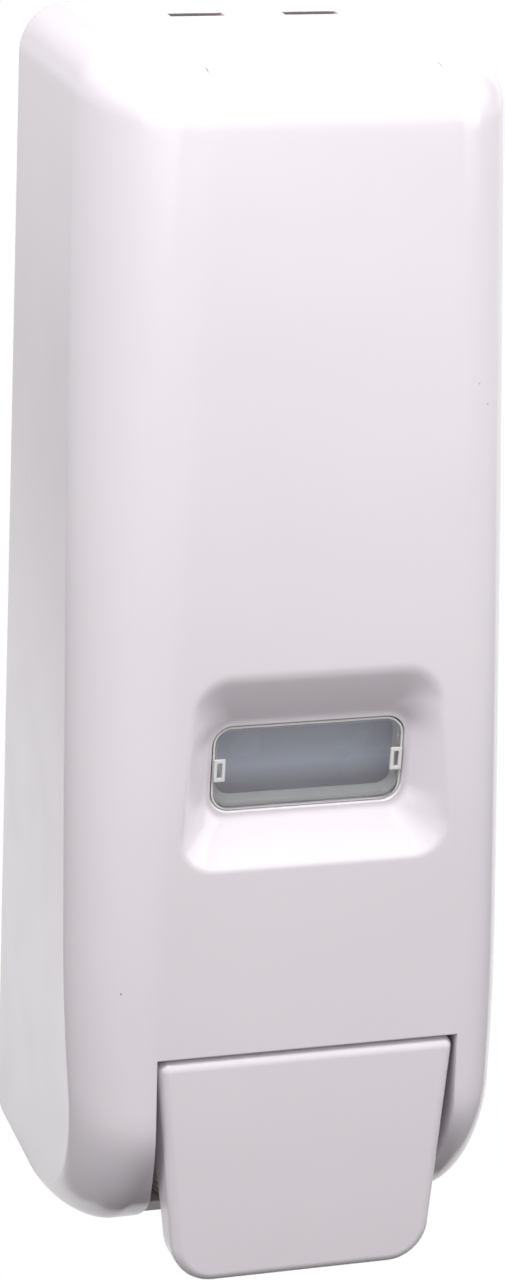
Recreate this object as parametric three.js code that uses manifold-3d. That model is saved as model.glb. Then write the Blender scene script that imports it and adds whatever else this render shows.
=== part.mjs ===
// Wall mounted soap dispenser, in millimetres: X to the right, -Y to the front, +Z up.
// Heights are worked out from the cover's bottom rim (z = 0) with the wall at y = 0. At the end
// every piece is lowered by ORIGIN_Z, which puts the frame's origin on the back plate's wall face.

import * as THREE from 'three';
import { mergeVertices } from 'three/addons/utils/BufferGeometryUtils.js';
import Module from 'manifold-3d';

const wasm = await Module();
wasm.setup();

// Cover shell
const HEIGHT = 294;
const ORIGIN_Z = 147;
const WALL = 2.4;
const FRONT_TOP_Y = -79.9;
const FRONT_LEAN = 28.3;
const TOP_ROUND_SIDE = 12.1;
const TOP_ROUND_FRONT = 12.4;
const TOP_ROUND_CORNER = 2.3;
const CHIN_HEIGHT = 43;
const CHIN_DEPTH = 50.6;
const CHIN_POWER = 1.67;
const CORNER_POWER = 1.8;
const CORNER_STEPS = 9;

// Window recess: half-widths, heights and the upright plane of its floor
const RECESS_FLOOR_Y = -88.5;
const RECESS_FLOOR = { top: 141.4, bottom: 117.0, halfTop: 25.3, halfBottom: 25.6, round: 5.8 };
const RECESS_LIP = { top: 154.1, bottom: 107.4, halfTop: 30.4, halfBottom: 33.9, round: 9 };
const LENS_OPENING = { top: 140.3, bottom: 118.1, halfTop: 24.2, halfBottom: 24.2, round: 5 };
const LENS_SILL = { top: 140.3, bottom: 119.7, halfTop: 23.7, halfBottom: 23.7, round: 5 };

// Lever and its opening in the cover
const OPENING_HALF = 38.1;
const OPENING_TOP = 60.9;
const OPENING_TAPER = 3.6;
const LEVER = { top: 60, bottom: 2.3, halfTop: 37.4, halfBottom: 33.1, topRound: 2, bottomRound: 10.5 };
const LEVER_SKIN = 2.3;
const LEVER_DEPTH_TOP = 14.4;
const LEVER_DEPTH_BOTTOM = 7.6;
const PIVOT_Y = -93;
const PIVOT_Z = 54;

// Hinge at the foot of the cover
const HINGE_Y = -5;
const HINGE_Z = 5;
const PIN_RADIUS = 1.5;
const RUNNING_GAP = 0.3;

// Pump: the horizontal bore's height and the upright axis of its inlet and outlet
const BORE_Z = 27;
const BORE_RADIUS = 9;
const PORT_Y = -56;

// Reservoir
const TANK_HALF = 42;
const TANK_BACK = -12;
const TANK_FRONT = -78;
const TANK_BOTTOM = 47;
const TANK_TOP = 262;
const TANK_WALL = 1.8;
const FILL_Y = -46;

// ---------------------------------------------------------------- solids

function signedVolume(positions, triangles) {
  const at = (i) => new THREE.Vector3().fromArray(positions, 3 * i);
  let volume = 0;
  for (let i = 0; i < triangles.length; i += 3) {
    const cross = at(triangles[i + 1]).cross(at(triangles[i + 2]));
    volume += at(triangles[i]).dot(cross) / 6;
  }
  return volume;
}

function manifoldFrom(positions, triangles) {
  if (signedVolume(positions, triangles) < 0) {
    triangles.reverse();
  }
  const vertProperties = new Float32Array(positions);
  const triVerts = new Uint32Array(triangles);
  return new wasm.Manifold(new wasm.Mesh({ numProp: 3, vertProperties, triVerts }));
}

function manifoldOf(geometry) {
  geometry.deleteAttribute('normal');
  geometry.deleteAttribute('uv');
  const merged = mergeVertices(geometry, 1e-4);
  return manifoldFrom(Array.from(merged.attributes.position.array), Array.from(merged.index.array));
}

// A solid skinned over rings of [x, y, z] points, each ring with the same number of points
function loft(rings) {
  const count = rings[0].length;
  const positions = rings.flat(2);
  const triangles = [];
  for (let row = 0; row + 1 < rings.length; row += 1) {
    for (let i = 0; i < count; i += 1) {
      const a = row * count + i;
      const b = row * count + (i + 1) % count;
      triangles.push(a, b, b + count, a, b + count, a + count);
    }
  }
  const last = (rings.length - 1) * count;
  for (const [ring, start, flip] of [[rings[0], 0, true], [rings.at(-1), last, false]]) {
    const centre = [0, 1, 2].map((k) => ring.reduce((sum, p) => sum + p[k], 0) / count);
    const hub = positions.length / 3;
    positions.push(...centre);
    for (let i = 0; i < count; i += 1) {
      const a = start + i;
      const b = start + (i + 1) % count;
      triangles.push(...(flip ? [hub, b, a] : [hub, a, b]));
    }
  }
  return manifoldFrom(positions, triangles);
}

function box(x0, x1, y0, y1, z0, z1) {
  const geometry = new THREE.BoxGeometry(x1 - x0, y1 - y0, z1 - z0);
  geometry.translate((x0 + x1) / 2, (y0 + y1) / 2, (z0 + z1) / 2);
  return manifoldOf(geometry);
}

// A straight cylinder along one axis, from one value to another; 'u' and 'v' are the other two
function rod(axis, from, to, u, v, radius, segments = 32) {
  const geometry = new THREE.CylinderGeometry(radius, radius, to - from, segments);
  const middle = (from + to) / 2;
  if (axis === 'x') {
    geometry.rotateZ(Math.PI / 2);
    geometry.translate(middle, u, v);
  } else if (axis === 'y') {
    geometry.translate(u, middle, v);
  } else {
    geometry.rotateX(Math.PI / 2);
    geometry.translate(u, v, middle);
  }
  return manifoldOf(geometry);
}

function tube(axis, from, to, u, v, outer, inner, segments = 32) {
  const hole = rod(axis, from - 1, to + 1, u, v, inner, segments);
  return rod(axis, from, to, u, v, outer, segments).subtract(hole);
}

function ball(x, y, z, radius) {
  const geometry = new THREE.SphereGeometry(radius, 20, 12);
  geometry.translate(x, y, z);
  return manifoldOf(geometry);
}

// A coil spring along Y or Z from one value to another
function spring(axis, from, to, u, v, radius, wire, turns) {
  const rings = [];
  const steps = turns * 14;
  for (let i = 0; i <= steps; i += 1) {
    const turn = (2 * Math.PI * i) / 14;
    const along = from + wire + ((to - from - 2 * wire) * i) / steps;
    const ring = [];
    for (let k = 0; k < 6; k += 1) {
      const angle = (2 * Math.PI * k) / 6;
      const r = radius + wire * Math.cos(angle);
      const across = [u + r * Math.cos(turn), v + r * Math.sin(turn)];
      const depth = along + wire * Math.sin(angle);
      ring.push(axis === 'y' ? [across[0], depth, across[1]] : [across[0], across[1], depth]);
    }
    rings.push(ring);
  }
  return loft(rings);
}

function both(make) {
  return make(-1).add(make(1));
}

function sideBox(side, x0, x1, y0, y1, z0, z1) {
  return side > 0 ? box(x0, x1, y0, y1, z0, z1) : box(-x1, -x0, y0, y1, z0, z1);
}

function sideRod(side, from, to, y, z, radius, segments = 32) {
  return side > 0
    ? rod('x', from, to, y, z, radius, segments)
    : rod('x', -to, -from, y, z, radius, segments);
}

// ---------------------------------------------------------------- outlines

// Fall of a quarter round of the given power, from 0 at u = 0 to 1 at u = 1
function quarterRound(u, power = 2) {
  const clamped = Math.min(Math.max(u, 0), 1);
  return 1 - (1 - clamped ** power) ** (1 / power);
}

const frontPlane = (z) => FRONT_TOP_Y - (FRONT_LEAN * (HEIGHT - z)) / HEIGHT;
const wallHalf = (z) => 48.6 + (4.9 * z) / HEIGHT;
const sideHalf = (z) => 55 - 5.7 * Math.max(0, 1 - z / 84) ** 2 - 3.65 * (z / HEIGHT) ** 2;
const creaseHalf = (z) => 40.6 - 0.0418 * z;
const cornerDepth = (z) => 20.4 + 0.065 * z;

// The cover's level outline at height z, moved inwards by 'inset'; 'back' is the y of its open side
function coverOutline(z, inset, back) {
  const level = Math.max(z, inset);
  const topDrop = quarterRound((level - HEIGHT + TOP_ROUND_SIDE) / (TOP_ROUND_SIDE - inset));
  const chinDrop = quarterRound((CHIN_HEIGHT - level) / (CHIN_HEIGHT - inset), CHIN_POWER);
  const front = frontPlane(level) + CHIN_DEPTH * chinDrop;
  const depth = cornerDepth(level);
  const crease = creaseHalf(level);
  const reach = sideHalf(level) - crease;
  const half = [[wallHalf(level) - inset - (TOP_ROUND_SIDE - inset) * topDrop, back]];
  for (let i = 0; i <= CORNER_STEPS; i += 1) {
    const angle = (Math.PI / 2) * (i / CORNER_STEPS);
    const c = Math.cos(angle);
    const s = Math.sin(angle);
    const x = crease + reach * Math.max(c, 0) ** (2 / CORNER_POWER);
    const y = front + depth - depth * s ** (2 / CORNER_POWER);
    const steep = (2 * (CORNER_POWER - 1)) / CORNER_POWER;
    const normal = new THREE.Vector2(Math.max(c, 0) ** steep / reach, -(s ** steep) / depth).normalize();
    const round = TOP_ROUND_SIDE * normal.x ** 2 + TOP_ROUND_FRONT * normal.y ** 2
      - TOP_ROUND_CORNER * 2 * normal.x * normal.y;
    const move = inset + (round - inset) * topDrop;
    half.push([x - normal.x * move, y - normal.y * move]);
  }
  const mirrored = half.map(([x, y]) => [-x, y]).reverse();
  return [...half, ...mirrored].map(([x, y]) => [x, y, z]);
}

function coverSolid(inset, back) {
  const levels = [];
  if (inset > 0) {
    levels.push(-5);
  }
  for (let i = 0; i <= 7; i += 1) {
    const rise = 1 - Math.cos((Math.PI / 2) * (i / 7));
    levels.push(inset + (CHIN_HEIGHT - inset) * rise ** 1.15);
  }
  levels.push(60, 90, 130, 180, 235);
  for (let i = 0; i <= 6; i += 1) {
    levels.push(HEIGHT - TOP_ROUND_SIDE + (TOP_ROUND_SIDE - inset) * Math.sin((Math.PI / 2) * (i / 6)));
  }
  return loft(levels.map((z) => coverOutline(z, inset, back)));
}

// Half width of the lever opening, which draws in towards the foot as the lever does
function openingHalf(z) {
  return OPENING_HALF - OPENING_TAPER * Math.min(Math.max((45 - z) / 31, 0), 1) ** 2;
}

const OPENING_LEVELS = [-6, 14, 18, 23, 28, 34, 45];

function leverOpening() {
  const left = OPENING_LEVELS.map((z) => [-openingHalf(z), z]);
  const right = OPENING_LEVELS.map((z) => [openingHalf(z), z]).reverse();
  return slab([...left, [-OPENING_HALF, OPENING_TOP], [OPENING_HALF, OPENING_TOP], ...right], -130, -30);
}

// Wall behind the edge of the lever opening on one side
function cheekWall(side) {
  const levels = [...OPENING_LEVELS, OPENING_TOP + 2.3];
  const inner = levels.map((z) => [side * openingHalf(z), z]);
  const outer = levels.map((z) => [side * (openingHalf(z) + 2.3), z]).reverse();
  return slab([...inner, ...outer], -112, -76);
}

// Rounded four-sided outline in X and Z, narrower or wider at its foot
function roundedQuad({ top, bottom, halfTop, halfBottom, round, topRound = round, bottomRound = round }, grow = 0) {
  const corners = [
    [halfTop + grow, top + grow, topRound + grow, 0],
    [-halfTop - grow, top + grow, topRound + grow, 90],
    [-halfBottom - grow, bottom - grow, bottomRound + grow, 180],
    [halfBottom + grow, bottom - grow, bottomRound + grow, 270],
  ];
  const points = [];
  for (const [x, z, radius, start] of corners) {
    const cx = x - Math.sign(x) * radius;
    const cz = z + (start < 180 ? -radius : radius);
    for (let i = 0; i <= 5; i += 1) {
      const angle = THREE.MathUtils.degToRad(start + 18 * i);
      points.push([cx + radius * Math.cos(angle), cz + radius * Math.sin(angle)]);
    }
  }
  return points;
}

function slab(outline, y0, y1) {
  return loft([y0, y1].map((y) => outline.map(([x, z]) => [x, y, z])));
}

// The dish around the window, ruled from its floor out through the lip on the front face
function recessSolid(grow, floorY) {
  const floor = roundedQuad(RECESS_FLOOR, grow);
  const lip = roundedQuad(RECESS_LIP, grow);
  const ring = (t) => floor.map(([x, z], i) => {
    const [lipX, lipZ] = lip[i];
    const lipY = frontPlane(lipZ);
    return [x + (lipX - x) * t, floorY + (lipY - floorY) * t, z + (lipZ - z) * t];
  });
  return loft([ring(0), ring(1), ring(1.6)]);
}

// ---------------------------------------------------------------- cover group

function frontCover() {
  const outer = coverSolid(0, 0);
  let cover = outer.subtract(coverSolid(WALL, 5));
  const cheekWalls = both(cheekWall);
  const header = box(-40.4, 40.4, -112, -94, OPENING_TOP, OPENING_TOP + 2.3);
  const axleBosses = both((s) => sideRod(s, 40, 43, PIVOT_Y, PIVOT_Z, 4));
  const dishWall = recessSolid(2.4, RECESS_FLOOR_Y + 2.3);
  const catchRib = box(-5, 5, -10.5, -8, 287, 292.5);
  const inside = cheekWalls.add(header).add(axleBosses).add(dishWall).add(catchRib);
  cover = cover.add(inside.intersect(outer));
  cover = cover.add(both((s) => sideRod(s, 42.2, 47, HINGE_Y, HINGE_Z, 4.5)));

  const slots = both((s) => sideBox(s, 7.6, 21.1, -15.8, -13.2, 286, 300));
  const footCorner = box(-60, 60, HINGE_Y, 1, -1, HINGE_Z)
    .subtract(rod('x', -61, 61, HINGE_Y, HINGE_Z, -HINGE_Y, 40));
  const axleHoles = rod('x', -41.8, 41.8, PIVOT_Y, PIVOT_Z, PIN_RADIUS + RUNNING_GAP, 20);
  const pinHoles = both((s) => sideRod(s, 42, 47.6, HINGE_Y, HINGE_Z, PIN_RADIUS + RUNNING_GAP, 20));
  return cover
    .subtract(recessSolid(0, RECESS_FLOOR_Y))
    .subtract(slots)
    .subtract(leverOpening())
    .subtract(lensSolid(0, -88.5, -86.1))
    .subtract(slab(roundedQuad(LENS_OPENING), -90, -88.49))
    .subtract(footCorner)
    .subtract(axleHoles)
    .subtract(pinHoles);
}

// Block that fills the window opening, whose bottom and sides draw in towards the back
function lensSolid(grow, y0, y1) {
  const front = roundedQuad(LENS_OPENING, grow);
  const back = roundedQuad(LENS_SILL, grow);
  return loft([y0, y1].map((y) => front.map(([x, z], i) => {
    const share = (y + 88.5) / 2.4;
    return [x + (back[i][0] - x) * share, y, z + (back[i][1] - z) * share];
  })));
}

// Clear window pressed in from behind: a hollow-backed plug, a flange and two snap hoops
function windowLens() {
  const plug = lensSolid(-RUNNING_GAP, -88.3, -85.4);
  const flange = slab(roundedQuad(LENS_SILL, 2), -85.9, -84.9);
  const pocket = lensSolid(-1.3, -87.1, -84);
  const hoops = both((s) => {
    const hoop = sideBox(s, 20.6, 23.6, -88.9, -88, 126.4, 132);
    return hoop.subtract(sideBox(s, 21.4, 22.8, -89, -88.35, 127.3, 131.1));
  });
  return plug.add(flange).subtract(pocket).add(hoops);
}

// Push lever: a shallow open-backed cap whose rim is deeper at the pivot than at the foot
function pushLever() {
  const outline = roundedQuad(LEVER);
  const hollow = roundedQuad({ ...LEVER, topRound: 2.4, bottomRound: 10.5 }, -2.2);
  const lean = (points, deeper) => points.map(([x, z]) => [x, frontPlane(z) + deeper, z]);
  const shell = loft([lean(outline, 0), lean(outline, 30)]);
  const inside = loft([lean(hollow, LEVER_SKIN), lean(hollow, 40)]);
  const rearTop = frontPlane(LEVER.top) + LEVER_DEPTH_TOP;
  const rearBottom = frontPlane(LEVER.bottom) + LEVER_DEPTH_BOTTOM;
  const trim = loft([-50, 50].map((x) => [
    [x, rearBottom, LEVER.bottom - 0.1],
    [x, rearTop, LEVER.top + 0.1],
    [x, -40, LEVER.top + 0.1],
    [x, -40, LEVER.bottom - 0.1],
  ]));
  const nose = rod('x', -10, 10, -101, BORE_Z, 4, 24);
  const noseWebs = both((s) => sideBox(s, 7, 9, -105, -99.5, 18, 36));
  const front = loft([lean(outline, 0.2), lean(outline, 30)]);
  const axleHole = rod('x', -45, 45, PIVOT_Y, PIVOT_Z, PIN_RADIUS + RUNNING_GAP, 20);
  return shell.subtract(inside).subtract(trim).add(nose.add(noseWebs).intersect(front)).subtract(axleHole);
}

function leverAxle() {
  return rod('x', -41.5, 41.5, PIVOT_Y, PIVOT_Z, PIN_RADIUS, 20);
}

// ---------------------------------------------------------------- back plate group

function backPlate() {
  const sheet = slab(roundedQuad({ top: 286, bottom: 8, halfTop: 44.5, halfBottom: 44.5, round: 6 }), -3, 0);
  const sideFlanges = both((s) => sideBox(s, 42.5, 44.5, -10, -2, 14, 280));
  const topFlanges = both((s) => sideBox(s, 27, 38.5, -10, -2, 284, 286));
  const shelf = box(-38.2, 38.2, -36, -2, 43.8, 46.4);
  const gussets = both((s) => loft([36, 38.2].map((x) => [
    [s * x, -2, 20],
    [s * x, -34, 44],
    [s * x, -34, 45],
    [s * x, -2, 45],
  ])));
  const rails = both((s) => sideBox(s, 23.4, 26, -9, -2, 258, 283));
  const lips = both((s) => sideBox(s, 20.5, 24, -9, -7.1, 258, 272));
  const springLedge = box(-7, 7, -10.5, -2, 244, 246.4);
  const ears = both((s) => sideBox(s, 38, 41.8, -9.3, -0.4, 4.5, 20)
    .subtract(sideBox(s, 37, 43, -1.2, 1, 0, 9))
    .add(sideRod(s, 38, 41.8, HINGE_Y, HINGE_Z, 4.3)));
  const wallHoles = both((s) => rod('y', -5, 1, s * 30, 250, 2.5, 24).add(rod('y', -5, 1, s * 30, 75, 2.5, 24)));
  const screwHoles = both((s) => rod('y', -5, 1, s * 26, 24, 2.1, 16));
  const pinHoles = both((s) => sideRod(s, 37, 43, HINGE_Y, HINGE_Z, PIN_RADIUS + 0.1, 20));
  return sheet
    .add(sideFlanges).add(topFlanges).add(shelf).add(gussets)
    .add(rails).add(lips).add(springLedge).add(ears)
    .subtract(wallHoles).subtract(screwHoles).subtract(pinHoles);
}

function hingePin(side) {
  return sideRod(side, 37.6, 47.3, HINGE_Y, HINGE_Z, PIN_RADIUS, 20);
}

// Slide that a two-pronged key pushes down through the cover's slots
function latchSlider() {
  const plate = box(-23, 23, -6.8, -3.4, 262, 284.5);
  const pads = both((s) => sideBox(s, 6.5, 22.5, -18, -3.4, 281.9, 284.5));
  const bridge = box(-7, 7, -14, -3.4, 281.9, 284);
  const nose = box(-5.5, 5.5, -14, -11.4, 281.9, 286);
  return plate.add(pads).add(bridge).add(nose);
}

function latchSpring() {
  return spring('z', 246.7, 261.7, 0, -5.9, 1.9, 0.35, 7);
}

// ---------------------------------------------------------------- reservoir group

function tankOutline(z, inset) {
  const half = TANK_HALF - inset;
  const corners = [
    [half, TANK_FRONT + inset, 20 - inset, -90],
    [half, TANK_BACK - inset, 8 - inset * 0.5, 0],
    [-half, TANK_BACK - inset, 8 - inset * 0.5, 90],
    [-half, TANK_FRONT + inset, 20 - inset, 180],
  ];
  const ring = [];
  for (const [x, y, radius, start] of corners) {
    const cx = x - Math.sign(x) * radius;
    const cy = y + (start === 0 || start === 90 ? -radius : radius);
    for (let i = 0; i <= 5; i += 1) {
      const angle = THREE.MathUtils.degToRad(start + 18 * i);
      ring.push([cx + radius * Math.cos(angle), cy + radius * Math.sin(angle), z]);
    }
  }
  return ring;
}

function tankSolid(inset) {
  const soft = 6;
  const rings = [];
  for (const edge of [-1, 1]) {
    for (let i = 0; i <= 3; i += 1) {
      const angle = (Math.PI / 2) * (edge < 0 ? i / 3 : 1 - i / 3);
      const tuck = soft * (1 - Math.sin(angle));
      const end = edge < 0 ? TANK_BOTTOM + inset : TANK_TOP - inset;
      rings.push(tankOutline(end - edge * soft * (1 - Math.cos(angle)), inset + tuck));
    }
  }
  return loft(rings);
}

function reservoir() {
  const outerNecks = rod('z', 44, 50, 0, PORT_Y, 13.5, 40).add(rod('z', 259, 268.6, 0, FILL_Y, 21, 48));
  const innerNecks = rod('z', 43, 51, 0, PORT_Y, 11, 40).add(rod('z', 258, 270, 0, FILL_Y, 18.5, 48));
  return tankSolid(0).add(outerNecks).subtract(tankSolid(TANK_WALL)).subtract(innerNecks);
}

function reservoirLid() {
  return rod('z', 263.4, 273, 0, FILL_Y, 24.5, 48).subtract(rod('z', 262, 270.4, 0, FILL_Y, 21.5, 48));
}

function lidGasket() {
  return tube('z', 268.8, 270.2, 0, FILL_Y, 21, 17, 40);
}

// ---------------------------------------------------------------- pump group

// Bracket under the reservoir: a floor with a front lip, side webs and a flange on the back plate
function pumpCarrier() {
  const floor = box(-33.8, 33.8, -66.5, -3.3, 0.6, 3.2);
  const lip = both((s) => sideBox(s, 26.5, 33.8, -66.5, -64.3, 0.6, 6.2));
  const flange = box(-33.8, 33.8, -6, -3.3, 0.6, 34);
  const webs = both((s) => loft([31.4, 33.8].map((x) => [
    [s * x, -3.3, 2],
    [s * x, -60, 2],
    [s * x, -60, 6],
    [s * x, -6, 34],
    [s * x, -3.3, 34],
  ])));
  const screwHoles = both((s) => rod('y', -8, -2, s * 26, 24, 2.1, 16));
  return floor.add(lip).add(flange).add(webs).subtract(screwHoles).subtract(rod('z', 0, 4, 0, PORT_Y, 8.4, 32));
}

function carrierScrew(side) {
  return rod('y', -8.7, -6.2, side * 26, 24, 3.8, 20).add(rod('y', -7, -0.8, side * 26, 24, 1.8, 16));
}

function pumpBody() {
  const barrel = rod('y', -82.5, -45, 0, BORE_Z, 12.4, 40);
  const inletSeat = rod('z', BORE_Z, 41.6, 0, PORT_Y, 13.5, 40);
  const spigot = rod('z', 40, 58, 0, PORT_Y, 10.5, 40);
  const foot = rod('z', 3.6, 16, 0, PORT_Y, 17.8, 40).add(rod('z', 14, BORE_Z, 0, PORT_Y, 12, 40));
  const bore = rod('y', -84, -48, 0, BORE_Z, BORE_RADIUS, 40);
  const inletCage = rod('z', 38, 50, 0, PORT_Y, 5.6, 24);
  const inletPort = rod('z', BORE_Z, 59, 0, PORT_Y, 3, 24);
  const outletPort = rod('z', 3, BORE_Z, 0, PORT_Y, 3, 24);
  const outletCage = rod('z', 3, 14.5, 0, PORT_Y, 5.6, 24);
  return barrel.add(inletSeat).add(spigot).add(foot)
    .subtract(bore).subtract(inletCage).subtract(inletPort).subtract(outletPort).subtract(outletCage);
}

// Grooved ring nut that clamps the pump's foot to the carrier
function pumpCollar() {
  let ring = tube('z', 3.5, 9.4, 0, PORT_Y, 25, 18.2, 56);
  for (const z of [4.4, 6, 7.6]) {
    ring = ring.subtract(tube('z', z, z + 0.8, 0, PORT_Y, 27, 24.3, 56));
  }
  return ring;
}

function neckGasket() {
  return tube('z', 41.8, 43.8, 0, PORT_Y, 13.4, 11, 32);
}

// Horizontal plunger: push button, rod and a grooved crown for the seal ring
function pumpPiston() {
  const button = rod('y', -96.6, -93.8, 0, BORE_Z, 11, 36);
  const stem = rod('y', -94, -68, 0, BORE_Z, 4.5, 24);
  const crown = rod('y', -69.6, -65.7, 0, BORE_Z, 8.6, 32).subtract(tube('y', -68.7, -66.7, 0, BORE_Z, 10, 7, 32));
  return button.add(stem).add(crown);
}

function pistonSeal() {
  return tube('y', -68.5, -66.9, 0, BORE_Z, 8.8, 7.15, 32);
}

function pumpSpring() {
  return spring('y', -65.5, -48.3, 0, BORE_Z, 6.6, 0.6, 5);
}

function glandCap() {
  const face = rod('y', -85, -82.8, 0, BORE_Z, 12.4, 40);
  const plug = rod('y', -83, -75, 0, BORE_Z, 8.6, 40);
  return face.add(plug).subtract(rod('y', -86, -74, 0, BORE_Z, 4.9, 24));
}

function inletBall() {
  return ball(0, PORT_Y, 46.4, 4.3);
}

function outletBall() {
  return ball(0, PORT_Y, 11.5, 4.1);
}

function outletSpring() {
  return spring('z', 4.9, 7.2, 0, PORT_Y, 2.9, 0.35, 2);
}

function nozzle() {
  const tip = rod('z', 0.1, 1.4, 0, PORT_Y, 4, 32);
  const flange = rod('z', 1.2, 3.3, 0, PORT_Y, 7.9, 32);
  const plug = rod('z', 3, 4.6, 0, PORT_Y, 5.3, 32);
  return tip.add(flange).add(plug).subtract(rod('z', -1, 6, 0, PORT_Y, 1.9, 24));
}

// ---------------------------------------------------------------- assembly

const MATERIALS = {
  white: { color: 0xe9e6e8, roughness: 0.25 },
  clear: { color: 0xdfe6ea, roughness: 0.08, transparent: true, opacity: 0.35 },
  tank: { color: 0x9fadb5, roughness: 0.3, transparent: true, opacity: 0.7 },
  greyPlastic: { color: 0xb9bcc0, roughness: 0.5 },
  cream: { color: 0xd8d2bd, roughness: 0.5 },
  steel: { color: 0x9a9da1, roughness: 0.3, metalness: 1 },
  rubber: { color: 0x2b2c2e, roughness: 0.8 },
};

const PIECES = [
  ['back_plate', backPlate(), 'greyPlastic'],
  ['hinge_pin_left', hingePin(-1), 'steel'],
  ['hinge_pin_right', hingePin(1), 'steel'],
  ['latch_slider', latchSlider(), 'cream'],
  ['latch_spring', latchSpring(), 'steel'],
  ['front_cover', frontCover(), 'white'],
  ['window_lens', windowLens(), 'clear'],
  ['push_lever', pushLever(), 'white'],
  ['lever_axle', leverAxle(), 'steel'],
  ['reservoir', reservoir(), 'tank'],
  ['reservoir_lid', reservoirLid(), 'greyPlastic'],
  ['lid_gasket', lidGasket(), 'rubber'],
  ['pump_carrier', pumpCarrier(), 'white'],
  ['carrier_screw_left', carrierScrew(-1), 'steel'],
  ['carrier_screw_right', carrierScrew(1), 'steel'],
  ['pump_body', pumpBody(), 'cream'],
  ['pump_collar', pumpCollar(), 'cream'],
  ['neck_gasket', neckGasket(), 'rubber'],
  ['inlet_ball', inletBall(), 'greyPlastic'],
  ['pump_piston', pumpPiston(), 'greyPlastic'],
  ['piston_seal', pistonSeal(), 'rubber'],
  ['pump_spring', pumpSpring(), 'steel'],
  ['gland_cap', glandCap(), 'cream'],
  ['outlet_ball', outletBall(), 'steel'],
  ['outlet_spring', outletSpring(), 'steel'],
  ['nozzle', nozzle(), 'greyPlastic'],
];

function meshOf(name, piece, material) {
  const { vertProperties, triVerts, numProp } = piece.getMesh();
  const positions = new Float32Array((vertProperties.length / numProp) * 3);
  for (let i = 0; i < positions.length / 3; i += 1) {
    positions[3 * i] = vertProperties[numProp * i];
    positions[3 * i + 1] = vertProperties[numProp * i + 1];
    positions[3 * i + 2] = vertProperties[numProp * i + 2] - ORIGIN_Z;
  }
  const geometry = new THREE.BufferGeometry();
  geometry.setAttribute('position', new THREE.BufferAttribute(positions, 3));
  geometry.setIndex(new THREE.BufferAttribute(new Uint32Array(triVerts), 1));
  geometry.computeVertexNormals();
  const mesh = new THREE.Mesh(geometry, new THREE.MeshStandardMaterial(MATERIALS[material]));
  mesh.name = name;
  return mesh;
}

const group = new THREE.Group();
group.name = 'soap_dispenser';
for (const [name, piece, material] of PIECES) {
  group.add(meshOf(name, piece, material));
}

export default group;
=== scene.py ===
"""Looks of the wall mounted soap dispenser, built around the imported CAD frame."""

import math

import bpy
from mathutils import Matrix, Vector


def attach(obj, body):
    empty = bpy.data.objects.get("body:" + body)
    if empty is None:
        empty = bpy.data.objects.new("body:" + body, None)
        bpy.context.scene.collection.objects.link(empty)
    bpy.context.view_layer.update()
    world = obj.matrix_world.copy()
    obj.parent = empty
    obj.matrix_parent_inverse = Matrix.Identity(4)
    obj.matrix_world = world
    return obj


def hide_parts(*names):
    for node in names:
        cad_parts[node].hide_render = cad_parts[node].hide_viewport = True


# Shape, in millimetres above the cover's bottom rim; the wall is at y = 0 and the front is -Y
ORIGIN_Z = 147
HEIGHT = 294
WALL = 2.4
FRONT_TOP_Y = -79.9
FRONT_LEAN = 28.3
TOP_ROUND_SIDE = 12.1
TOP_ROUND_FRONT = 12.4
TOP_ROUND_CORNER = 2.3
CHIN_HEIGHT = 43
CHIN_DEPTH = 50.6
CHIN_POWER = 1.67
CORNER_POWER = 1.8

RECESS_FLOOR_Y = -88.5
RECESS_FLOOR = dict(top=141.4, bottom=117.0, half_top=25.3, half_bottom=25.6, rounding=5.8)
RECESS_LIP = dict(top=154.1, bottom=107.4, half_top=30.4, half_bottom=33.9, rounding=9)
LENS_OPENING = dict(top=140.3, bottom=118.1, half_top=24.2, half_bottom=24.2, rounding=5)
LENS_SILL = dict(top=140.3, bottom=119.7, half_top=23.7, half_bottom=23.7, rounding=5)
LIP_SOFTNESS = 0.6

# Key slots: their front edge, and the rear edge at each height
SLOT_NEAR = 7.6
SLOT_FAR = 21.1
SLOT_FRONT = -17.4
SLOT_REAR = ((286, -8.7), (291.6, -11.9), (293.9, -14.17), (300, -14.2))

OPENING_HALF = 38.1
OPENING_TOP = 60.9
OPENING_TAPER = 3.6
LEVER = dict(top=60, bottom=2.3, half_top=37.4, half_bottom=33.1, rounding=2.6, foot_rounding=10.5)
LEVER_EDGE = 2.6
LEVER_SKIN = 2.3
LEVER_DEPTH_TOP = 14.4
LEVER_DEPTH_BOTTOM = 7.6
PIVOT_Y = -93
PIVOT_Z = 54
HINGE_Y = -5
HINGE_Z = 5
PIN_RADIUS = 1.5
GAP = 0.3

BORE_Z = 27
PORT_Y = -56
TANK_HALF = 42
TANK_BACK = -12
TANK_FRONT = -78
TANK_BOTTOM = 47
TANK_TOP = 262
TANK_WALL = 1.8
FILL_Y = -46

# Tank glow, in place of daylight through the window: its strength and the heights it fades between
GLOW_STRENGTH = 0.13
GLOW_BOTTOM = 112
GLOW_TOP = 146

# Finish shared by all moulded plastic, in metres
PLASTIC_IOR = 1.5
PLASTIC_EDGE = 0.0004
PEEL_STRENGTH = 0.06
GRAIN_DEPTH = 0.0002
SHARP_ANGLE = math.radians(35)
BEVEL_ANGLE = math.radians(40)
METAL_BEVEL = 0.00012
PLASTIC_BEVEL = 0.0003


# ------------------------------------------------------------------ meshes

def mm(x, y, z):
    return (x / 1000, y / 1000, (z - ORIGIN_Z) / 1000)


def make_object(name, points, faces):
    mesh = bpy.data.meshes.new(name)
    mesh.from_pydata([mm(*p) for p in points], [], faces)
    mesh.validate()
    obj = bpy.data.objects.new(name, mesh)
    bpy.context.scene.collection.objects.link(obj)
    return obj


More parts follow.
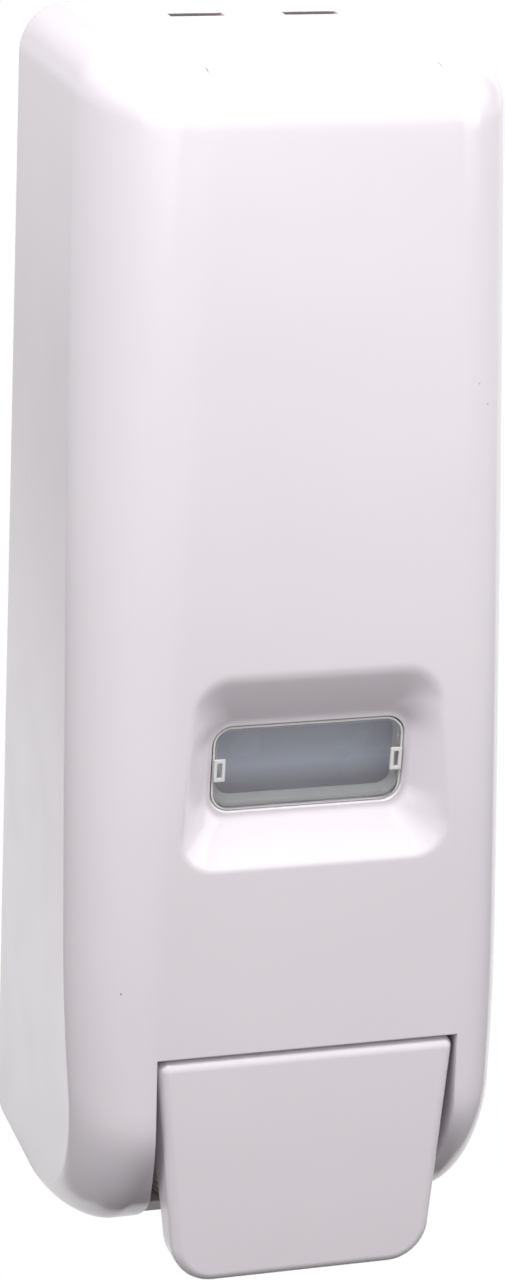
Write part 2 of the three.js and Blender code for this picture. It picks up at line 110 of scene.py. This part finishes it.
def signed_volume(obj):
    total = 0.0
    mesh = obj.data
    mesh.calc_loop_triangles()
    for tri in mesh.loop_triangles:
        a, b, c = (mesh.vertices[i].co for i in tri.vertices)
        total += a.dot(b.cross(c))
    return total


def facing_out(obj):
    if signed_volume(obj) < 0:
        obj.data.flip_normals()
    return obj


def loft(name, rings, closed_ends=True):
    """A solid skinned over rings of points, each with the same number of points."""
    count = len(rings[0])
    points = [p for ring in rings for p in ring]
    faces = []
    for row in range(len(rings) - 1):
        for i in range(count):
            a = row * count + i
            b = row * count + (i + 1) % count
            faces.append((a, b, b + count, a + count))
    if closed_ends:
        last = (len(rings) - 1) * count
        faces.append(tuple(reversed(range(count))))
        faces.append(tuple(range(last, last + count)))
    else:
        faces += wrap_faces(len(rings), count)
    return facing_out(make_object(name, points, faces))


def wrap_faces(rows, count):
    last = (rows - 1) * count
    return [(last + i, last + (i + 1) % count, (i + 1) % count, i) for i in range(count)]


def box(x0, x1, y0, y1, z0, z1):
    corners = [(x0, y0), (x1, y0), (x1, y1), (x0, y1)]
    return loft("box", [[(x, y, z) for x, y in corners] for z in (z0, z1)])


def circle(axis, along, u, v, radius, segments):
    ring = []
    for i in range(segments):
        angle = 2 * math.pi * i / segments
        a = u + radius * math.cos(angle)
        b = v + radius * math.sin(angle)
        ring.append({"x": (along, a, b), "y": (a, along, b), "z": (a, b, along)}[axis])
    return ring


def rod(axis, start, end, u, v, radius, segments=64):
    return loft("rod", [circle(axis, s, u, v, radius, segments) for s in (start, end)])


def turned(name, axis, u, v, profile, segments=96):
    """A solid of revolution; the profile is a closed outline of (along, radius) pairs."""
    rings = [circle(axis, along, u, v, radius, segments) for along, radius in profile]
    return loft(name, rings, closed_ends=False)


def combine(target, tool, operation):
    """Joins, cuts or intersects two closed solids and keeps the first one."""
    modifier = target.modifiers.new("combine", "BOOLEAN")
    modifier.operation = operation
    modifier.solver = "MANIFOLD"
    modifier.object = tool
    graph = bpy.context.evaluated_depsgraph_get()
    mesh = bpy.data.meshes.new_from_object(target.evaluated_get(graph))
    target.modifiers.clear()
    target.data = mesh
    bpy.data.objects.remove(tool)
    return target


def add(target, *tools):
    for tool in tools:
        combine(target, tool, "UNION")
    return target


def cut(target, *tools):
    for tool in tools:
        combine(target, tool, "DIFFERENCE")
    return target


def both(make):
    return [make(side) for side in (-1, 1)]


def side_box(side, x0, x1, y0, y1, z0, z1):
    return box(min(side * x0, side * x1), max(side * x0, side * x1), y0, y1, z0, z1)


def side_rod(side, x0, x1, y, z, radius, segments=48):
    return rod("x", min(side * x0, side * x1), max(side * x0, side * x1), y, z, radius, segments)


# ------------------------------------------------------------------ cover outline

def quarter_round(u, power=2):
    u = min(max(u, 0), 1)
    return 1 - (1 - u ** power) ** (1 / power)


def front_plane(z):
    return FRONT_TOP_Y - FRONT_LEAN * (HEIGHT - z) / HEIGHT


def wall_half(z):
    return 48.6 + 4.9 * z / HEIGHT


def side_half(z):
    return 55 - 5.7 * max(0, 1 - z / 84) ** 2 - 3.65 * (z / HEIGHT) ** 2


def crease_half(z):
    return 40.6 - 0.0418 * z


def corner_depth(z):
    return 20.4 + 0.065 * z


def rounded_distance(x, z, quad, grow=0):
    """Signed distance from a rounded four-sided outline, negative inside it."""
    rounding = quad["rounding"] + grow
    share = (z - quad["bottom"]) / (quad["top"] - quad["bottom"])
    half = quad["half_bottom"] + (quad["half_top"] - quad["half_bottom"]) * share + grow
    middle = (quad["top"] + quad["bottom"]) / 2
    height = (quad["top"] - quad["bottom"]) / 2 + grow
    qx = abs(x) - half + rounding
    qz = abs(z - middle) - height + rounding
    return math.hypot(max(qx, 0), max(qz, 0)) + min(max(qx, qz), 0) - rounding


def soft_max(a, b, softness):
    blend = max(softness - abs(a - b), 0) / softness
    return max(a, b) + blend * blend * softness / 4


def recess_depth(x, z, grow=0, behind=0):
    """How far the dish around the window lies behind the front face at (x, z)."""
    floor_depth = RECESS_FLOOR_Y + behind - front_plane(z)
    to_floor = rounded_distance(x, z, RECESS_FLOOR, grow)
    to_lip = rounded_distance(x, z, RECESS_LIP, grow)
    if to_lip > 3:
        return 0
    climb = to_floor / (to_floor - to_lip)
    wall = floor_depth * (1 - climb)
    raised = soft_max(wall, 0, LIP_SOFTNESS)
    return -soft_max(-raised, -floor_depth, 0.5)


def cover_half(z, inset, back, corner_steps, panel_steps):
    level = max(z, inset)
    top_drop = quarter_round((level - HEIGHT + TOP_ROUND_SIDE) / (TOP_ROUND_SIDE - inset))
    chin_drop = quarter_round((CHIN_HEIGHT - level) / (CHIN_HEIGHT - inset), CHIN_POWER)
    front = front_plane(level) + CHIN_DEPTH * chin_drop
    depth = corner_depth(level)
    crease = crease_half(level)
    reach = side_half(level) - crease
    steep = 2 * (CORNER_POWER - 1) / CORNER_POWER
    half = [(wall_half(level) - inset - (TOP_ROUND_SIDE - inset) * top_drop, back)]
    for i in range(corner_steps + 1):
        angle = math.pi / 2 * i / corner_steps
        c = max(math.cos(angle), 0)
        s = math.sin(angle)
        x = crease + reach * c ** (2 / CORNER_POWER)
        y = front + depth - depth * s ** (2 / CORNER_POWER)
        normal = Vector((c ** steep / reach, -(s ** steep) / depth)).normalized()
        rounding = TOP_ROUND_SIDE * normal.x ** 2 + TOP_ROUND_FRONT * normal.y ** 2
        rounding -= TOP_ROUND_CORNER * 2 * normal.x * normal.y
        move = inset + (rounding - inset) * top_drop
        half.append((x - normal.x * move, y - normal.y * move))
    edge_x, edge_y = half[-1]
    for i in range(1, panel_steps):
        half.append((edge_x * (1 - i / panel_steps), edge_y))
    return half


def cover_ring(z, inset, back):
    half = cover_half(z, inset, back, corner_steps=30, panel_steps=70)
    ring = half + [(0, half[-1][1])] + [(-x, y) for x, y in reversed(half)]
    grow = WALL if inset else 0
    behind = 2.3 if inset else 0
    points = []
    for x, y in ring:
        if 100 < z < 160 and abs(x) < 38:
            plain = front_plane(z) + inset
            sunk = front_plane(z) + recess_depth(x, z, grow, behind)
            y = max(y, sunk) if sunk > plain else y
        points.append((x, y, z))
    return points


def cover_levels(inset):
    levels = [-5] if inset else []
    for i in range(25):
        rise = 1 - math.cos(math.pi / 2 * i / 24)
        levels.append(inset + (CHIN_HEIGHT - inset) * rise ** 1.15)
    levels += [43 + 4 * i for i in range(1, 15)]
    levels += [100 + 0.5 * i for i in range(120)]
    levels += [160.5 + 8 * i for i in range(16)]
    for i in range(17):
        turn = math.sin(math.pi / 2 * i / 16)
        levels.append(HEIGHT - TOP_ROUND_SIDE + (TOP_ROUND_SIDE - inset) * turn)
    return levels


def cover_solid(inset, back):
    return loft("cover_solid", [cover_ring(z, inset, back) for z in cover_levels(inset)])


def rounded_quad(quad, grow=0, steps=12):
    """Points round a rounded four-sided outline in X and Z."""
    head = quad["rounding"] + grow
    foot = quad.get("foot_rounding", quad["rounding"]) + grow
    corners = [
        (quad["half_top"] + grow, quad["top"] + grow, head, 0),
        (-quad["half_top"] - grow, quad["top"] + grow, head, 90),
        (-quad["half_bottom"] - grow, quad["bottom"] - grow, foot, 180),
        (quad["half_bottom"] + grow, quad["bottom"] - grow, foot, 270),
    ]
    points = []
    for x, z, radius, start in corners:
        radius = max(radius, 0.2)
        cx = x - math.copysign(radius, x)
        cz = z - radius if start < 180 else z + radius
        for i in range(steps + 1):
            angle = math.radians(start + 90 * i / steps)
            points.append((cx + radius * math.cos(angle), cz + radius * math.sin(angle)))
    return points


def slab(outline, y0, y1):
    return loft("slab", [[(x, y, z) for x, z in outline] for y in (y0, y1)])


def opening_half(z):
    """Half width of the lever opening, which draws in towards the foot as the lever does."""
    return OPENING_HALF - OPENING_TAPER * min(max((45 - z) / 31, 0), 1) ** 2


def opening_side(side, wider=0):
    levels = [-6] + [14 + 1.55 * i for i in range(21)] + [OPENING_TOP]
    return [(side * (opening_half(z) + wider), z) for z in levels]


def lever_opening():
    return slab(opening_side(-1) + opening_side(1)[::-1], -130, -30)


def cheek_wall(side):
    return slab(opening_side(side) + opening_side(side, 2.3)[::-1], -112, -76)


def lens_solid(name, grow, y0, y1):
    """Block that fills the window opening, whose bottom and sides draw in towards the back."""
    rings = []
    for y in (y0, y1):
        share = (y + 88.5) / 2.4
        pairs = zip(rounded_quad(LENS_OPENING, grow), rounded_quad(LENS_SILL, grow))
        rings.append([(a + (c - a) * share, y, b + (d - b) * share) for (a, b), (c, d) in pairs])
    return loft(name, rings)


# ------------------------------------------------------------------ cover pieces

def key_slot(side):
    """Slot whose rear edge is undercut, so the latch behind it can be reached."""
    x0, x1 = sorted((side * SLOT_NEAR, side * SLOT_FAR))
    rings = []
    for z, rear in SLOT_REAR:
        rings.append([(x0, SLOT_FRONT, z), (x1, SLOT_FRONT, z), (x1, rear, z), (x0, rear, z)])
    return loft("key_slot", rings)


def front_cover():
    cover = cut(cover_solid(0, 0), cover_solid(WALL, 5))
    inner = both(cheek_wall)
    inner.append(box(-40.4, 40.4, -112, -94, OPENING_TOP, OPENING_TOP + 2.3))
    inner += both(lambda s: side_rod(s, 40, 43, PIVOT_Y, PIVOT_Z, 4))
    inner.append(box(-5, 5, -10.5, -8, 287, 292.5))
    for piece in inner:
        add(cover, combine(piece, cover_solid(0.05, 0), "INTERSECT"))
    add(cover, *both(lambda s: side_rod(s, 42.2, 47, HINGE_Y, HINGE_Z, 4.5)))
    foot = cut(box(-60, 60, HINGE_Y, 1, -1, HINGE_Z), rod("x", -61, 61, HINGE_Y, HINGE_Z, -HINGE_Y))
    cut(
        cover,
        *both(key_slot),
        lever_opening(),
        lens_solid("hole", 0, -88.5, -84),
        slab(rounded_quad(LENS_OPENING), -90, -88.49),
        foot,
        rod("x", -41.8, 41.8, PIVOT_Y, PIVOT_Z, PIN_RADIUS + GAP),
        *both(lambda s: side_rod(s, 42, 47.6, HINGE_Y, HINGE_Z, PIN_RADIUS + GAP)),
    )
    cover.name = "cover_shell"
    return cover


def window_lens():
    """Clear front plate of the window, with a soft edge."""
    edge = [(-88.3, -1.3), (-88.22, -1.05), (-87.95, -0.9), (-87.1, -0.9)]
    rings = [[(x, y, z) for x, z in rounded_quad(LENS_OPENING, grow)] for y, grow in edge]
    return loft("clear_window", rings)


def window_frame():
    """The window's frosted sides, which draw in towards the back, its flange and its two snap hoops."""
    sides = cut(lens_solid("window_sides", -GAP, -88.15, -85.4), lens_solid("pocket", -1.3, -87.1, -84))
    cut(sides, slab(rounded_quad(LENS_OPENING, -0.92), -89, -87.08))
    flange = slab(rounded_quad(LENS_SILL, 2), -85.9, -84.9)
    add(sides, cut(flange, lens_solid("clear", -1.3, -87.1, -84)))
    for s in (-1, 1):
        hoop = side_box(s, 20.8, 23.6, -88.95, -88.35, 126.4, 132)
        add(sides, cut(hoop, side_box(s, 21.6, 22.8, -89.5, -87, 127.3, 131.1)))
    return sides


def push_lever():
    turns = [math.pi / 2 * i / 6 for i in range(7)]
    shell = [(-LEVER_EDGE * (1 - math.sin(t)), LEVER_EDGE * (1 - math.cos(t))) for t in turns]
    rings = []
    for grow, deeper in shell + [(0, 30)]:
        rings.append([(x, front_plane(z) + deeper, z) for x, z in rounded_quad(LEVER, grow)])
    lever = loft("push_lever_shell", rings)
    hollow = []
    for deeper in (LEVER_SKIN, 40):
        ring = rounded_quad(LEVER, -2.2)
        hollow.append([(x, front_plane(z) + deeper, z) for x, z in ring])
    rear_top = front_plane(LEVER["top"]) + LEVER_DEPTH_TOP
    rear_bottom = front_plane(LEVER["bottom"]) + LEVER_DEPTH_BOTTOM
    trim = []
    for x in (-50, 50):
        trim.append([
            (x, rear_bottom, LEVER["bottom"] - 0.1),
            (x, rear_top, LEVER["top"] + 0.1),
            (x, -40, LEVER["top"] + 0.1),
            (x, -40, LEVER["bottom"] - 0.1),
        ])
    cut(lever, loft("hollow", hollow), loft("trim", trim))
    add(lever, rod("x", -10, 10, -101, BORE_Z, 4, 48))
    add(lever, *both(lambda s: side_box(s, 7, 9, -104.2, -99.5, 18, 36)))
    return cut(lever, rod("x", -45, 45, PIVOT_Y, PIVOT_Z, PIN_RADIUS + GAP))


# ------------------------------------------------------------------ inner pieces

def tank_ring(z, inset):
    half = TANK_HALF - inset
    corners = [
        (half, TANK_FRONT + inset, 20 - inset, -90),
        (half, TANK_BACK - inset, 8 - inset * 0.5, 0),
        (-half, TANK_BACK - inset, 8 - inset * 0.5, 90),
        (-half, TANK_FRONT + inset, 20 - inset, 180),
    ]
    ring = []
    for x, y, radius, start in corners:
        cx = x - math.copysign(radius, x)
        cy = y - radius if start in (0, 90) else y + radius
        for i in range(15):
            angle = math.radians(start + 90 * i / 14)
            ring.append((cx + radius * math.cos(angle), cy + radius * math.sin(angle), z))
    return ring


def tank_solid(inset):
    soft = 6
    rings = []
    for edge in (-1, 1):
        end = TANK_BOTTOM + inset if edge < 0 else TANK_TOP - inset
        for i in range(9):
            angle = math.pi / 2 * (i / 8 if edge < 0 else 1 - i / 8)
            tuck = soft * (1 - math.sin(angle))
            rings.append(tank_ring(end - edge * soft * (1 - math.cos(angle)), inset + tuck))
    return loft("tank", rings)


def reservoir():
    tank = add(tank_solid(0), rod("z", 44, 50, 0, PORT_Y, 13.5), rod("z", 259, 268.6, 0, FILL_Y, 21))
    necks = [rod("z", 43, 51, 0, PORT_Y, 11), rod("z", 258, 270, 0, FILL_Y, 18.5)]
    cut(tank, tank_solid(TANK_WALL), *necks)
    tank.name = "reservoir_tank"
    return tank


def reservoir_lid():
    """Screw cap with a grip of fine upright ribs."""
    ribs = 60
    rings = []
    for z, inset in [(263.4, 0.3), (263.8, 0), (272.2, 0), (273, 0.8)]:
        ring = []
        for i in range(ribs * 6):
            angle = 2 * math.pi * i / (ribs * 6)
            radius = 24.2 - inset + 0.3 * math.cos(ribs * angle)
            ring.append((radius * math.cos(angle), FILL_Y + radius * math.sin(angle), z))
        rings.append(ring)
    lid = cut(loft("screw_lid", rings), rod("z", 262, 270.4, 0, FILL_Y, 21.5, 96))
    return lid


def pump_collar():
    profile = [(3.5, 18.2), (3.5, 24.7), (3.8, 25), (4.4, 25)]
    for z in (4.4, 6.0, 7.6):
        profile += [(z, 25), (z + 0.15, 24.4), (z + 0.65, 24.4), (z + 0.8, 25)]
    profile += [(9.1, 25), (9.4, 24.7), (9.4, 18.2)]
    return turned("grooved_collar", "z", 0, PORT_Y, profile)


def coil(name, axis, start, end, u, v, radius, wire, turns):
    steps = turns * 40
    rings = []
    for i in range(steps + 1):
        turn = 2 * math.pi * i / 40
        along = start + wire + (end - start - 2 * wire) * i / steps
        ring = []
        for k in range(12):
            angle = 2 * math.pi * k / 12
            r = radius + wire * math.cos(angle)
            a = u + r * math.cos(turn)
            b = v + r * math.sin(turn)
            depth = along + wire * math.sin(angle)
            ring.append((a, depth, b) if axis == "y" else (a, b, depth))
        rings.append(ring)
    return loft(name, rings)


def carrier_screw(name, side):
    """Pan head screw with a cross recess."""
    x = side * 26
    profile = [(-8.7, 0.05), (-8.7, 2.6), (-8.3, 3.4), (-7.6, 3.8), (-6.2, 3.8), (-6.2, 1.8)]
    profile += [(-0.8, 1.8), (-0.8, 0.05)]
    rings = [circle("y", along, x, 24, radius, 48) for along, radius in profile]
    screw = loft(name, rings)
    across = box(x - 1.9, x + 1.9, -10, -7.5, 23.6, 24.4)
    upright = box(x - 0.4, x + 0.4, -10, -7.5, 22.1, 25.9)
    cut(screw, across, upright)
    screw.name = name
    return screw


# ------------------------------------------------------------------ materials

def new_material(name):
    material = bpy.data.materials.new(name)
    material.use_nodes = True
    nodes = material.node_tree.nodes
    return material, nodes, material.node_tree.links, nodes["Principled BSDF"]


def noise(nodes, links, scale, detail=3.0):
    where = nodes.new("ShaderNodeTexCoord")
    texture = nodes.new("ShaderNodeTexNoise")
    texture.inputs["Scale"].default_value = scale
    texture.inputs["Detail"].default_value = detail
    links.new(where.outputs["Object"], texture.inputs["Vector"])
    return texture.outputs["Fac"]


def ramp(nodes, links, source, stops):
    node = nodes.new("ShaderNodeValToRGB")
    elements = node.color_ramp.elements
    while len(elements) < len(stops):
        elements.new(0.5)
    for element, (position, value) in zip(elements, stops):
        element.position = position
        colour = value if isinstance(value, tuple) else (value, value, value)
        element.color = (*colour, 1)
    links.new(source, node.inputs["Fac"])
    return node.outputs["Color"]


def bump(nodes, links, source, strength, distance, normal=None):
    node = nodes.new("ShaderNodeBump")
    node.inputs["Strength"].default_value = strength
    node.inputs["Distance"].default_value = distance
    links.new(source, node.inputs["Height"])
    if normal is not None:
        links.new(normal, node.inputs["Normal"])
    return node.outputs["Normal"]


def soft_edges(nodes, radius):
    node = nodes.new("ShaderNodeBevel")
    node.samples = 4
    node.inputs["Radius"].default_value = radius
    return node.outputs["Normal"]


def plastic(name, colour, roughness, specks=False):
    """Moulded plastic: slightly uneven colour and gloss, a faint orange peel and soft edges."""
    material, nodes, links, shader = new_material(name)
    darker = tuple(0.965 * c for c in colour)
    tint = ramp(nodes, links, noise(nodes, links, 14), [(0.3, darker), (0.7, colour)])
    if specks:
        tint = with_specks(nodes, links, tint)
    links.new(tint, shader.inputs["Base Color"])
    shine = [(0.3, roughness * 0.85), (0.7, roughness * 1.15)]
    gloss = ramp(nodes, links, noise(nodes, links, 60), shine)
    links.new(gloss, shader.inputs["Roughness"])
    shader.inputs["IOR"].default_value = PLASTIC_IOR
    peel = noise(nodes, links, 900, 2.0)
    edges = soft_edges(nodes, PLASTIC_EDGE)
    surface = bump(nodes, links, peel, PEEL_STRENGTH, GRAIN_DEPTH, edges)
    links.new(surface, shader.inputs["Normal"])
    return material


def with_specks(nodes, links, tint):
    """A few grains of dust, each well under a millimetre."""
    where = nodes.new("ShaderNodeTexCoord")
    cells = nodes.new("ShaderNodeTexVoronoi")
    cells.inputs["Scale"].default_value = 60
    links.new(where.outputs["Object"], cells.inputs["Vector"])
    grain = ramp(nodes, links, cells.outputs["Distance"], [(0.012, 1.0), (0.018, 0.0)])
    dust = nodes.new("ShaderNodeMix")
    dust.data_type = "RGBA"
    links.new(grain, dust.inputs["Factor"])
    links.new(tint, dust.inputs["A"])
    dust.inputs["B"].default_value = (0.35, 0.3, 0.27, 1)
    return dust.outputs["Result"]


def clear_plastic(name):
    material, nodes, links, shader = new_material(name)
    shader.inputs["Base Color"].default_value = (0.96, 0.98, 0.985, 1)
    shader.inputs["Transmission Weight"].default_value = 1
    shader.inputs["IOR"].default_value = 1.49
    haze = ramp(nodes, links, noise(nodes, links, 90), [(0.3, 0.02), (0.7, 0.06)])
    links.new(haze, shader.inputs["Roughness"])
    return material


def smoky_plastic_painted_glow(name):
    """Cloudy blue-grey tank wall with painted light: a faint painted glow and a paler band level with the
    window stand in for daylight through it.
    """
    material, nodes, links, shader = new_material(name)
    where = nodes.new("ShaderNodeTexCoord")
    split = nodes.new("ShaderNodeSeparateXYZ")
    links.new(where.outputs["Object"], split.inputs["Vector"])
    level = nodes.new("ShaderNodeMapRange")
    level.inputs["From Min"].default_value = (GLOW_BOTTOM - ORIGIN_Z) / 1000
    level.inputs["From Max"].default_value = (GLOW_TOP - ORIGIN_Z) / 1000
    links.new(split.outputs["Z"], level.inputs["Value"])
    # The deep colour is the tank's own; the paler band colours are painted light standing in for daylight
    # through the window, and the same colours drive the emission as a painted glow.
    deep = (0.58, 0.56, 0.61)
    pale = (0.72, 0.76, 0.86)
    middle = (0.64, 0.66, 0.74)
    bands = [(0.0, deep), (0.25, deep), (0.4, pale), (0.55, middle), (0.85, deep), (1.0, deep)]
    tint = ramp(nodes, links, level.outputs["Result"], bands)
    links.new(tint, shader.inputs["Base Color"])
    links.new(tint, shader.inputs["Emission Color"])
    shader.inputs["Emission Strength"].default_value = GLOW_STRENGTH
    cloud = ramp(nodes, links, noise(nodes, links, 40), [(0.3, 0.2), (0.7, 0.32)])
    links.new(cloud, shader.inputs["Roughness"])
    shader.inputs["IOR"].default_value = 1.5
    shader.inputs["Subsurface Weight"].default_value = 0.15
    shader.inputs["Subsurface Scale"].default_value = 0.004
    return material


def steel(name):
    material, nodes, links, shader = new_material(name)
    greys = [(0.3, (0.5, 0.5, 0.51)), (0.7, (0.68, 0.68, 0.69))]
    tint = ramp(nodes, links, noise(nodes, links, 220), greys)
    links.new(tint, shader.inputs["Base Color"])
    shader.inputs["Metallic"].default_value = 1
    polish = ramp(nodes, links, noise(nodes, links, 500), [(0.3, 0.2), (0.7, 0.36)])
    links.new(polish, shader.inputs["Roughness"])
    return material


def rubber(name):
    material, nodes, links, shader = new_material(name)
    blacks = [(0.3, (0.015, 0.015, 0.016)), (0.7, (0.035, 0.035, 0.037))]
    tint = ramp(nodes, links, noise(nodes, links, 120), blacks)
    links.new(tint, shader.inputs["Base Color"])
    shader.inputs["Roughness"].default_value = 0.75
    grain = bump(nodes, links, noise(nodes, links, 1500), 0.15, GRAIN_DEPTH)
    links.new(grain, shader.inputs["Normal"])
    return material


# ------------------------------------------------------------------ dressing

def dress(obj, material, body, nodes):
    """Gives a piece its material and shading, ties it to its CAD body and hides the CAD nodes it stands
    in for.
    """
    obj.data.materials.clear()
    obj.data.materials.append(material)
    for polygon in obj.data.polygons:
        polygon.use_smooth = True
    obj.data.set_sharp_from_angle(angle=SHARP_ANGLE)
    even = obj.modifiers.new("even_normals", "WEIGHTED_NORMAL")
    even.keep_sharp = True
    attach(obj, body)
    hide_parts(*nodes)


def dress_cad(name, material, width):
    """A CAD node kept as it is, with softened edges."""
    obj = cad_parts[name]
    obj.data.materials.clear()
    obj.data.materials.append(material)
    soften = obj.modifiers.new("soft_edges", "BEVEL")
    soften.width = width
    soften.segments = 2
    soften.limit_method = "ANGLE"
    soften.angle_limit = BEVEL_ANGLE
    soften.use_clamp_overlap = True
    for polygon in obj.data.polygons:
        polygon.use_smooth = True
    even = obj.modifiers.new("even_normals", "WEIGHTED_NORMAL")
    even.weight = 80


def build_pieces():
    white = plastic("white_gloss", (0.835, 0.78, 0.83), 0.17, specks=True)
    satin = plastic("white_satin", (0.82, 0.77, 0.76), 0.42)
    grey = plastic("grey_satin", (0.5, 0.51, 0.52), 0.45)
    cream = plastic("cream_satin", (0.84, 0.78, 0.66), 0.42)
    clear = clear_plastic("clear_plastic")
    frosted = plastic("frosted_plastic", (0.9, 0.88, 0.87), 0.3)
    smoky = smoky_plastic_painted_glow("smoky_tank")
    metal = steel("drawn_steel")
    seal = rubber("seal_rubber")

    dress(front_cover(), white, "cover", ["front_cover"])
    dress(window_lens(), clear, "cover", ["window_lens"])
    dress(window_frame(), frosted, "cover", ["window_lens"])
    dress(push_lever(), white, "lever", ["push_lever"])
    dress(reservoir(), smoky, "wall_unit", ["reservoir"])
    dress(reservoir_lid(), grey, "wall_unit", ["reservoir_lid"])
    dress(pump_collar(), cream, "wall_unit", ["pump_collar"])
    springs = [
        ("latch_spring", "z", 246.7, 261.7, 0, -5.9, 1.9, 0.35, 7),
        ("pump_spring", "y", -65.5, -48.3, 0, BORE_Z, 6.6, 0.6, 5),
        ("outlet_spring", "z", 4.9, 7.2, 0, PORT_Y, 2.9, 0.35, 2),
    ]
    for name, *sizes in springs:
        dress(coil(name + "_wire", *sizes), metal, "wall_unit", [name])
    for name, side in (("carrier_screw_left", -1), ("carrier_screw_right", 1)):
        dress(carrier_screw(name + "_head", side), metal, "wall_unit", [name])

    kept = [
        ("back_plate", grey, "plate_plastic"),
        ("pump_carrier", satin, "white_matte"),
        ("latch_slider", cream, "cream_plastic"),
        ("pump_body", cream, "cream_plastic"),
        ("gland_cap", cream, "cream_plastic"),
        ("pump_piston", grey, "plate_plastic"),
        ("inlet_ball", grey, "plate_plastic"),
        ("nozzle", grey, "plate_plastic"),
        ("outlet_ball", metal, "steel"),
        ("hinge_pin_left", metal, "steel"),
        ("hinge_pin_right", metal, "steel"),
        ("lever_axle", metal, "steel"),
        ("lid_gasket", seal, "seal_rubber"),
        ("neck_gasket", seal, "seal_rubber"),
        ("piston_seal", seal, "seal_rubber"),
    ]
    for name, material, slot_name in kept:
        dress_cad(name, material, METAL_BEVEL if material is metal else PLASTIC_BEVEL)


# ------------------------------------------------------------------ stage

CAMERA_PLACE = (-319.2, -972.4, 515.9)
CAMERA_YAW = math.radians(18.947)
CAMERA_PITCH = math.radians(20.748)
CAMERA_ROLL = math.radians(3.391)
CAMERA_LENS = 120.0
BACKDROP_DISTANCE = 2.3
BACKDROP_HALF_WIDTH = 0.75
BACKDROP_HALF_HEIGHT = 1.2


def camera_axes():
    ahead = Vector((
        math.sin(CAMERA_YAW) * math.cos(CAMERA_PITCH),
        math.cos(CAMERA_YAW) * math.cos(CAMERA_PITCH),
        -math.sin(CAMERA_PITCH),
    ))
    level = Vector((math.cos(CAMERA_YAW), -math.sin(CAMERA_YAW), 0))
    rise = level.cross(ahead)
    right = math.cos(CAMERA_ROLL) * level + math.sin(CAMERA_ROLL) * rise
    up = -math.sin(CAMERA_ROLL) * level + math.cos(CAMERA_ROLL) * rise
    return right, up, ahead


def add_camera():
    right, up, ahead = camera_axes()
    data = bpy.data.cameras.new("camera")
    data.lens = CAMERA_LENS
    data.sensor_width = 36
    data.clip_end = 20
    camera = bpy.data.objects.new("camera", data)
    turn = Matrix((right, up, -ahead)).transposed().to_4x4()
    camera.matrix_world = Matrix.Translation(mm(*CAMERA_PLACE)) @ turn
    bpy.context.scene.collection.objects.link(camera)
    bpy.context.scene.camera = camera


def add_backdrop():
    """A plain bright sheet well behind the object, square to the camera."""
    right, up, ahead = camera_axes()
    middle = Vector(mm(*CAMERA_PLACE)) + BACKDROP_DISTANCE * ahead
    corners = []
    for sx, sy in ((-1, -1), (1, -1), (1, 1), (-1, 1)):
        corners.append(middle + sx * BACKDROP_HALF_WIDTH * right + sy * BACKDROP_HALF_HEIGHT * up)
    mesh = bpy.data.meshes.new("backdrop")
    mesh.from_pydata([tuple(c) for c in corners], [], [(0, 1, 2, 3)])
    sheet = bpy.data.objects.new("backdrop", mesh)
    bpy.context.scene.collection.objects.link(sheet)
    material = bpy.data.materials.new("bright_backdrop")
    material.use_nodes = True
    nodes = material.node_tree.nodes
    nodes.clear()
    glow = nodes.new("ShaderNodeEmission")
    glow.inputs["Color"].default_value = (1, 1, 1, 1)
    glow.inputs["Strength"].default_value = 1.0
    output = nodes.new("ShaderNodeOutputMaterial")
    material.node_tree.links.new(glow.outputs[0], output.inputs["Surface"])
    mesh.materials.append(material)


def add_area(name, place, target, size, power):
    data = bpy.data.lights.new(name, "AREA")
    data.shape = "RECTANGLE"
    data.size, data.size_y = size
    data.energy = power
    light = bpy.data.objects.new(name, data)
    direction = Vector(target) - Vector(place)
    light.rotation_euler = direction.to_track_quat("-Z", "Y").to_euler()
    light.location = place
    bpy.context.scene.collection.objects.link(light)


def add_world():
    """Room light: a bright ceiling, dim walls, a pale table edge and a dark floor."""
    world = bpy.data.worlds.new("room")
    bpy.context.scene.world = world
    world.use_nodes = True
    nodes = world.node_tree.nodes
    links = world.node_tree.links
    where = nodes.new("ShaderNodeTexCoord")
    split = nodes.new("ShaderNodeSeparateXYZ")
    links.new(where.outputs["Generated"], split.inputs["Vector"])
    height = nodes.new("ShaderNodeMapRange")
    height.inputs["From Min"].default_value = -1
    height.inputs["From Max"].default_value = 1
    links.new(split.outputs["Z"], height.inputs["Value"])
    bands = [(0.32, 0.05), (0.38, 0.84), (0.46, 0.88), (0.54, 0.05), (0.66, 0.05), (0.74, 0.62)]
    glow = ramp(nodes, links, height.outputs["Result"], bands)
    links.new(glow, nodes["Background"].inputs["Color"])
    nodes["Background"].inputs["Strength"].default_value = 1.0


def build_stage():
    add_camera()
    add_backdrop()
    add_world()
    add_area("near_softbox", (-0.05, -0.35, 0.62), (0, -0.06, 0.05), (0.3, 0.24), 3.1)
    add_area("left_softbox", (-1.1, -0.35, 0.45), (0, -0.05, 0), (0.9, 0.9), 6.2)
    add_area("right_softbox", (1.1, -0.5, 0.45), (0, -0.05, 0), (0.9, 0.9), 6.2)
    scene = bpy.context.scene
    scene.view_settings.view_transform = "Standard"
    scene.view_settings.look = "None"


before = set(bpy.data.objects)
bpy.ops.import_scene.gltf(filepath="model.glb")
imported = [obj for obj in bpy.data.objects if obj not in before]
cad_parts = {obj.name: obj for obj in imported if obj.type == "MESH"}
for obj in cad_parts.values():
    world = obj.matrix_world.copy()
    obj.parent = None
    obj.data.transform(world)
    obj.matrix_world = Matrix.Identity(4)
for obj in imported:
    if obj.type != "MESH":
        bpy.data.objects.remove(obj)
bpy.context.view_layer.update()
build_pieces()
build_stage()
